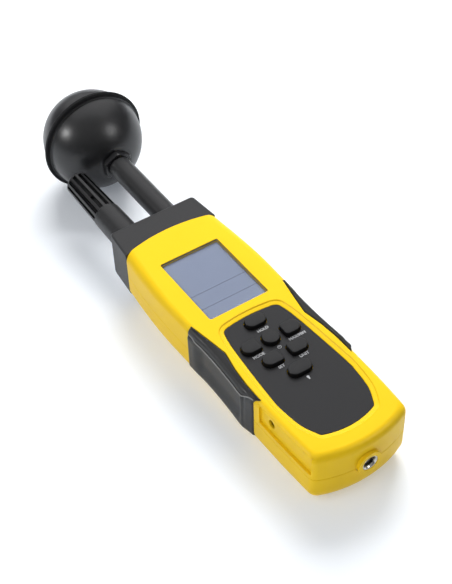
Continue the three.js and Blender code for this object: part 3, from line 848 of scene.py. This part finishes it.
# Dark blue grey painted on the window's side faces: painted shade for the shadowed walls of the
# opening, which frames the cell.
window_edge_painted_shade = moulded("window_edge_painted_shade", "5C6888", "55617E", 0.5, 0.4, 0.004)
fit(window, clear_acrylic, "meter", "window_plastic", "display_window")
# The side faces take the painted shade.
paint_shade_on_faces(window, window_edge_painted_shade, lambda face: abs(face.normal.z) < 0.3)

# Liquid crystal glass: blue grey with a soft cloud in it and two thin darker lines.
CELL_TOP = 27.2               # top of the cell's rear plate; the front plate is smaller
LINE_HEIGHTS = (22.3, 13.4)
LINE_WIDTH = 0.32
crystal, place = new_material("liquid_crystal")
cloud = add_node(crystal, "TexNoise", {"Scale": 1 / (25 * MM)}, Vector=place)
tint = add_node(crystal, "MixRGB", {
    "Color1": srgb("7F8798"), "Color2": srgb("828A9B")}, Fac=cloud)
across = add_node(crystal, "SeparateXYZ", Vector=place)
for height in LINE_HEIGHTS:
    near = add_node(crystal, "Math", {"operation": "COMPARE"})
    near.inputs[1].default_value = height * MM
    near.inputs[2].default_value = LINE_WIDTH / 2 * MM
    crystal.node_tree.links.new(across.outputs["Y"], near.inputs[0])
    tint = add_node(crystal, "MixRGB", {
        "Color2": srgb("4C5468")}, Fac=near, Color1=tint)
shader = add_node(crystal, "BsdfPrincipled", {
    "Roughness": 0.22, "Coat Weight": 0.2}, Base_Color=tint)
add_node(crystal, "OutputMaterial", Surface=shader)

low, high = node_box("display_glass")
glass = box("display_cell", low.x, high.x, low.y, high.y, low.z, CELL_TOP)
combine(glass, "UNION", window_block("front_plate", 0.1, CELL_TOP - 0.5, high.z))
soften(glass, 0.15)
fit(glass, crystal, "meter", "display_glass", "display_glass")

# ---- Tripod insert -----------------------------------------------------------------------
# A turned and nickel-plated brass bush with a tripod thread, pressed into the boss.
THREAD_RADIUS, THREAD_DEPTH, THREAD_PITCH = 2.7, 0.6, 1.27


def turned(name, profile, x=0.0, z=0.0, steps=72):
    """A closed (radius, y) profile turned about an axis along Y at x and z."""
    deselect()
    bpy.ops.mesh.primitive_circle_add(vertices=len(profile), radius=MM, fill_type="NOTHING")
    made = bpy.context.object
    made.name = name
    for vertex, (radius, y) in zip(made.data.vertices, profile):
        vertex.co = Vector((x + radius, y, z)) * MM
    switch("EDIT", "SELECT")
    bpy.ops.mesh.spin(steps=steps, angle=2 * math.pi, center=Vector((x, 0, z)) * MM, axis=(0, 1, 0))
    bpy.ops.mesh.select_all(action="SELECT")
    bpy.ops.mesh.remove_doubles(threshold=0.005 * MM)
    switch("OBJECT")
    face_out(made)
    return made


def node_span(name, axis):
    """The lowest and the highest value of a node's box along an axis, 1 for Y or 2 for Z."""
    return [corner[axis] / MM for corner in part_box(name)]


insert_low, insert_high = node_span("tripod_insert", 1)
profile = [(THREAD_RADIUS + THREAD_DEPTH, insert_low), (INSERT_OUTER, insert_low),
           (INSERT_OUTER, insert_high), (THREAD_RADIUS, insert_high)]
turns = int((insert_high - insert_low - 1.2) / THREAD_PITCH)
for i in range(turns):
    y = insert_high - 0.2 - i * THREAD_PITCH
    profile += [(THREAD_RADIUS, y), (THREAD_RADIUS + THREAD_DEPTH, y - THREAD_PITCH / 2)]
profile.append((THREAD_RADIUS, insert_low + 0.9))
insert = turned("insert_bush", profile, 0, BOSS_Z, 48)
soften(insert, 0.05, 1, 50)


def plated(name, colour, roughness, brushed):
    """A plated or turned metal: streaks of the given width vary its roughness."""
    material, place = new_material(name)
    streaks = add_node(material, "TexNoise", {
        "Scale": 1 / (brushed * MM), "Detail": 3.0}, Vector=place)
    gloss = add_node(material, "MapRange", {
        "To Min": roughness - 0.06, "To Max": roughness + 0.08}, Value=streaks)
    bump = add_node(material, "Bump", {
        "Distance": 0.003 * MM}, Height=streaks)
    shader = add_node(material, "BsdfPrincipled", {
        "Base Color": srgb(colour), "Metallic": 1.0},
        Roughness=gloss, Normal=bump)
    add_node(material, "OutputMaterial", Surface=shader)
    return material


# Nickel plate: a pale, slightly warm mirror that picks out the thread's crests.
nickel = plated("nickel_plate", "C9C6BE", 0.24, 0.8)
fit(insert, nickel, "meter", "insert_metal", "tripod_insert")

# ---- Housing screws ----------------------------------------------------------------------
# Four zinc-plated self-tapping screws with cross-recessed pan heads, deep in the back.
HEAD_RADIUS, HEAD_HEIGHT, SHANK_RADIUS = 2.4, 1.8, 1.2
CROSS_LONG, CROSS_NARROW, CROSS_DEPTH = 1.35, 0.32, 0.9

# Zinc plate: a cool, slightly dull grey.
zinc = plated("zinc_plate", "B4B7BA", 0.3, 0.6)
for number, (x, y) in enumerate(SCREW_PLACES, 1):
    head_low, screw_end = node_span(f"housing_screw_{number}", 2)
    screw = rod(f"screw_{number}", HEAD_RADIUS, (x, y, head_low), (x, y, head_low + HEAD_HEIGHT), 32)
    soften(screw, 0.5, 3, 40)
    shank_low = head_low + HEAD_HEIGHT - 0.6
    combine(screw, "UNION", rod("shank", SHANK_RADIUS, (x, y, shank_low), (x, y, screw_end), 20))
    for half_x, half_y in ((CROSS_LONG, CROSS_NARROW), (CROSS_NARROW, CROSS_LONG)):
        cut(screw, box("cross", x - half_x, x + half_x, y - half_y, y + half_y,
                       head_low - 1, head_low + CROSS_DEPTH))
    fit(screw, zinc, "meter", "steel", f"housing_screw_{number}")

# ---- Battery door ------------------------------------------------------------------------
# A yellow ABS plate that slides in along two tongues and carries the back face on. Its thumb
# hollow has five raised bars to push against.
THUMB_Y, THUMB_RADIUS, THUMB_DEPTH = -22, 42, 1.4
BARS, BAR_SPACING = 5, 2.6

door_outer = housing_form("battery_cover", 0.25, 40, 0.25, BACK_ROUND)
door_plate = box("plate", -DOOR_HALF, DOOR_HALF, -95, DOOR_TOP, -1, DOOR_THICKNESS)
tongue_half = DOOR_HALF + DOOR_LIP
combine(door_plate, "UNION",
        box("tongues", -tongue_half, tongue_half, -95, DOOR_TOP, WALL + GAP, DOOR_THICKNESS))
combine(door_outer, "INTERSECT", door_plate)
thumb_z = THUMB_DEPTH - THUMB_RADIUS
cut(door_outer, rod("hollow", THUMB_RADIUS, (-7.5, THUMB_Y, thumb_z), (7.5, THUMB_Y, thumb_z), 256))
for i in range(BARS):
    y = THUMB_Y + (i - BARS // 2) * BAR_SPACING
    combine(door_outer, "UNION", box("bar", -5.5, 5.5, y - 0.45, y + 0.45, 0.45, 2.2))
soften(door_outer, 0.2)
fit(door_outer, yellow_abs, "battery_door", "yellow_plastic", "battery_door")

# ---- Battery -----------------------------------------------------------------------------
# A plain nine volt block: a steel jacket with rolled ends round a dark case.
low, high = node_box("battery")
jacket = box("battery_block", low.x, high.x, low.y, high.y, low.z, high.z)
round_edges(jacket, 1, 2.6, 6)
for face in jacket.data.polygons:
    face.select = abs(face.normal.y) > 0.9
switch("EDIT")
bpy.ops.mesh.inset(thickness=1.0 * MM, depth=0, use_individual=True)
bpy.ops.mesh.inset(thickness=0.3 * MM, depth=-0.5 * MM, use_individual=True)
switch("OBJECT")
soften(jacket, 0.15)
# Printed steel sheet: a dark, even grey with a metal's sheen.
battery_steel = plated("battery_jacket", "6E7176", 0.34, 1.2)
fit(jacket, battery_steel, "meter", "battery_case", "battery")

# ---- Sensor head -------------------------------------------------------------------------
# A matt black moulding that closes the top of the housing along the bowed seam. Its skirt
# reaches into the shells and its flat end wall holds the stem and the probe.
HEAD_END, HEAD_BACK, HEAD_FRONT, HEAD_WALL = 78.8, 1.4, 29, 2.6
HEAD_SIDE = 0.2               # how far its sides stand back from the housing's
HEAD_SEAM = 0.4               # how far it stands off the shells along the seam
STEM_X, SENSOR_Z = 11.7, 17


def head_outline(inset, start=HEAD_SEAM):
    """The head's outline between the seam and its flat end, set in but for the seam."""
    end = HEAD_END - inset
    side_in = HEAD_SIDE + inset
    foot = seam_y(half_width(SEAM_SIDE) - side_in) + start
    corner = (half_width(end) - side_in, end)
    crown = [(half_width(foot) - side_in) * i / 14 for i in range(15)]
    crown = [(x, seam_y(x) + start) for x in crown]
    side = [foot + (end - 2.4 - foot) * i / 12 for i in range(1, 13)]
    side = [(half_width(y) - side_in, y) for y in side]
    rounded = fillet(corner, side[-1], (0, end), 1.8, 6)
    flat = [(rounded[-1][0] * (1 - i / 4), end) for i in range(1, 5)]
    return mirrored(crown + side + rounded + flat)


rings = quarter(HEAD_BACK, HEAD_FRONT, 5.0, 8)
rings += reversed(quarter(HEAD_FRONT, HEAD_BACK, 1.1, 5))
head = lofted("head_moulding", [at_height(head_outline(inset), z) for inset, z in rings])
core_back, core_front = HEAD_BACK + 3, HEAD_FRONT - 3
rings = quarter(core_back, core_front, 3.0, 4)
rings += reversed(quarter(core_front, core_back, 1.0, 3))
cut(head, lofted("core", [at_height(head_outline(HEAD_WALL + inset, -6), z) for inset, z in rings]))
for x, radius in ((STEM_X, 4.7), (-STEM_X, 6.9)):
    cut(head, rod("way", radius, (x, 60, SENSOR_Z), (x, 90, SENSOR_Z)))
soften(head, 0.18)
# Black ABS with a matt texture: a dark grey that stays even all round.
black_abs = moulded("black_abs", "232325", "202022", 0.46, 0.7, 0.012, 0.5)
fit(head, black_abs, "meter", "black_plastic", "sensor_head")

# ---- Globe stem and collar ---------------------------------------------------------------
# A black tube screwed into the head carries the globe's hexagonal collar.
stem_low, stem_high = node_span("globe_stem", 1)
STEM_RADIUS, SPIGOT, STEM_BORE = 5.85, 4.4, 3.6
shoulder = HEAD_END + GAP
stem = turned("stem_tube", [
    (STEM_BORE, stem_low), (SPIGOT, stem_low), (SPIGOT, shoulder), (STEM_RADIUS, shoulder),
    (STEM_RADIUS, stem_high), (STEM_BORE, stem_high)], STEM_X, SENSOR_Z, 64)
soften(stem, 0.3, 3)
# A near black painted shade for the cage's inner faces and the boards behind the slots, and the
# smoother black of the tube and cage.
probe_inside_painted_shade = moulded("probe_inside_painted_shade", "101012", "0E0E10", 0.5, 0.5, 0.004, 0.3)
stem_black = moulded("stem_black", "1E1E20", "1B1B1D", 0.38, 0.6, 0.006, 0.5)
fit(stem, stem_black, "meter", "black_plastic", "globe_stem")

collar_low, collar_high = node_span("globe_collar", 1)
COLLAR_RADIUS, COLLAR_BORE = 8.1, 1.9
collar = rod("hex_collar", COLLAR_RADIUS, (STEM_X, collar_low, SENSOR_Z),
             (STEM_X, collar_high, SENSOR_Z), 6)
chamfer, clear_of = COLLAR_RADIUS - 0.7, COLLAR_RADIUS + 0.2
cone = turned("cone", [
    (COLLAR_BORE, collar_low), (chamfer, collar_low), (clear_of, collar_low + 0.7),
    (clear_of, collar_high - 0.7), (chamfer, collar_high), (COLLAR_BORE, collar_high)],
    STEM_X, SENSOR_Z)
combine(collar, "INTERSECT", cone)
soften(collar, 0.15)

# ---- Globe -------------------------------------------------------------------------------
# Two thin copper half shells sprayed satin black. The near half ends in a stepped rim that
# the far half is pressed onto.
GLOBE_Y, GLOBE_RADIUS, GLOBE_WALL, RIM_RADIUS = 157.9, 25.4, 1.0, 27.6


def meridian(radius, start, end, steps):
    """Points of an arc about the globe's centre, between two angles from its equator."""
    angles = [start + (end - start) * i / steps for i in range(steps + 1)]
    return [(radius * math.cos(a), GLOBE_Y + radius * math.sin(a)) for a in angles]


def on_rim(face):
    """Whether a face lies further from the globe's axis than the globe itself does."""
    off_axis = Vector((face.center.x / MM - STEM_X, face.center.z / MM - SENSOR_Z)).length
    return off_axis > GLOBE_RADIUS + 0.35


globe_inner = GLOBE_RADIUS - GLOBE_WALL
neck = collar_high + GAP - GLOBE_Y
step_y = -2.9
near_half = turned("globe_near_shell", [
    (3, GLOBE_Y + neck),
    *meridian(GLOBE_RADIUS, math.asin(neck / GLOBE_RADIUS), math.asin(step_y / GLOBE_RADIUS), 40),
    (25.95, GLOBE_Y - 2.6), (26.05, GLOBE_Y - 1.5), (RIM_RADIUS - 0.25, GLOBE_Y - 1.3),
    (RIM_RADIUS, GLOBE_Y - 1.05), (RIM_RADIUS, GLOBE_Y - 0.2), (RIM_RADIUS - 0.2, GLOBE_Y),
    *meridian(globe_inner, 0, math.asin((neck + GLOBE_WALL) / globe_inner), 30),
    (3, GLOBE_Y + neck + GLOBE_WALL)], STEM_X, SENSOR_Z, 128)
far_start = math.asin((GAP + 0.9) / GLOBE_RADIUS)
far_half = turned("globe_far_shell", [
    (math.sqrt(globe_inner ** 2 - GAP ** 2), GLOBE_Y + GAP), (27.1, GLOBE_Y + GAP),
    (27.2, GLOBE_Y + GAP + 0.3), (26.9, GLOBE_Y + GAP + 0.85),
    *meridian(GLOBE_RADIUS, far_start, math.pi / 2, 40),
    *meridian(globe_inner, math.pi / 2, math.asin(GAP / globe_inner), 30)[:-1]],
    STEM_X, SENSOR_Z, 128)
# Satin black paint: it keeps a fine orange peel and shows broad, soft highlights.
globe_paint = moulded("globe_paint", "1B1B1D", "1E1E20", 0.34, 1.4, 0.006, 0.5, 0.04)
# The rim is painted darker and duller: painted shade for the flange's face, which lies in shadow.
rim_painted_shade = moulded("rim_painted_shade", "121214", "101012", 0.6, 0.9, 0.006, 0.2)
for piece, node in ((near_half, "globe_near_half"), (far_half, "globe_far_half")):
    smooth_up_to(piece, 40)
    fit(piece, globe_paint, "meter", "globe_black", node)
    # The rim's faces take the painted shade.
    paint_shade_on_faces(piece, rim_painted_shade, on_rim)
fit(collar, globe_paint, "meter", "globe_black", "globe_collar")

# ---- Air probe ---------------------------------------------------------------------------
# A tapered black cage with twelve long slots that let the air in to the humidity sensor and
# the thermistor on the little board inside it.
PROBE_TIP, SLOT_START, SLOT_END, SLOT_WIDTH, SLOTS = 132.4, 103, 130.9, 1.8, 12
SLOT_TURN = 10                # degrees from the upright
PROBE_SPIGOT = 6.6


def inside_cage(face):
    """Whether a face of the cage's slotted part looks inwards or sideways."""
    outwards = Vector((face.center.x / MM + STEM_X, face.center.z / MM - SENSOR_Z))
    lean = Vector((face.normal.x, face.normal.z)).dot(outwards.normalized())
    return face.center.y / MM > SLOT_START - 5 and lean < 0.3 and face.normal.y < 0.5


cage = turned("slotted_cage", [
    (4.6, 70), (PROBE_SPIGOT, 70), (PROBE_SPIGOT, shoulder), (7.4, shoulder),
    (6.95, SLOT_START - 0.7), (6.72, SLOT_START - 0.4),
    (6.05, PROBE_TIP - 1), (5.7, PROBE_TIP - 0.3), (5.2, PROBE_TIP), (0, PROBE_TIP),
    (0, PROBE_TIP - 1.4), (4.8, PROBE_TIP - 1.4), (5.5, SLOT_START), (4.6, 84)],
    -STEM_X, SENSOR_Z, 96)
for i in range(SLOTS // 2):
    slot = box("slot", -9, 9, SLOT_START, SLOT_END, -SLOT_WIDTH / 2, SLOT_WIDTH / 2)
    slot.rotation_euler.y = math.radians(360 / SLOTS * i + SLOT_TURN)
    slot.location = Vector((-STEM_X, 0, SENSOR_Z)) * MM
    only(slot)
    cut(cage, placed())
soften(cage, 0.12)
fit(cage, stem_black, "meter", "black_plastic", "probe_cage")
# The cage's inward and sideways faces in its slotted part take the painted shade.
paint_shade_on_faces(cage, probe_inside_painted_shade, inside_cage)

# ---- Inside pieces -----------------------------------------------------------------------
# The boards, the keypad mat and the small components keep their plain shapes and take the
# finishes of solder mask, moulded epoxy, diffuser acrylic, silicone, plated metal and painted shade.


def coat(material, *nodes):
    """Gives plain inside pieces a finish."""
    for name in nodes:
        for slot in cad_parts[name].material_slots:
            slot.material = material


# Green solder mask is glossy; epoxy and silicone are dull; the diffuser is milky and pale.
solder_mask = moulded("solder_mask", "1F6B3A", "1A5A31", 0.3, 0.8, 0.01, 0.5)
epoxy = moulded("component_epoxy", "232325", "2A2A2D", 0.5, 0.5, 0.006)
diffuser = moulded("diffuser_acrylic", "DDE2E8", "D2D8E0", 0.35, 1.5, 0.004)
mat_silicone = moulded("mat_silicone", "3A3B3E", "343538", 0.5, 0.8, 0.008)
coat(solder_mask, "main_board", "sensor_board")
coat(epoxy, "processor_chip", "buzzer", "battery_snap", "output_jack", "display_frame")
# The probe's board and sensors, seen only through the slots, are painted near black as shade.
coat(probe_inside_painted_shade, "probe_board", "humidity_sensor", "air_thermistor")
coat(diffuser, "display_backlight")
coat(mat_silicone, "keypad_mat", "display_contact_strip")
coat(zinc, "stem_nut", "globe_sensor")
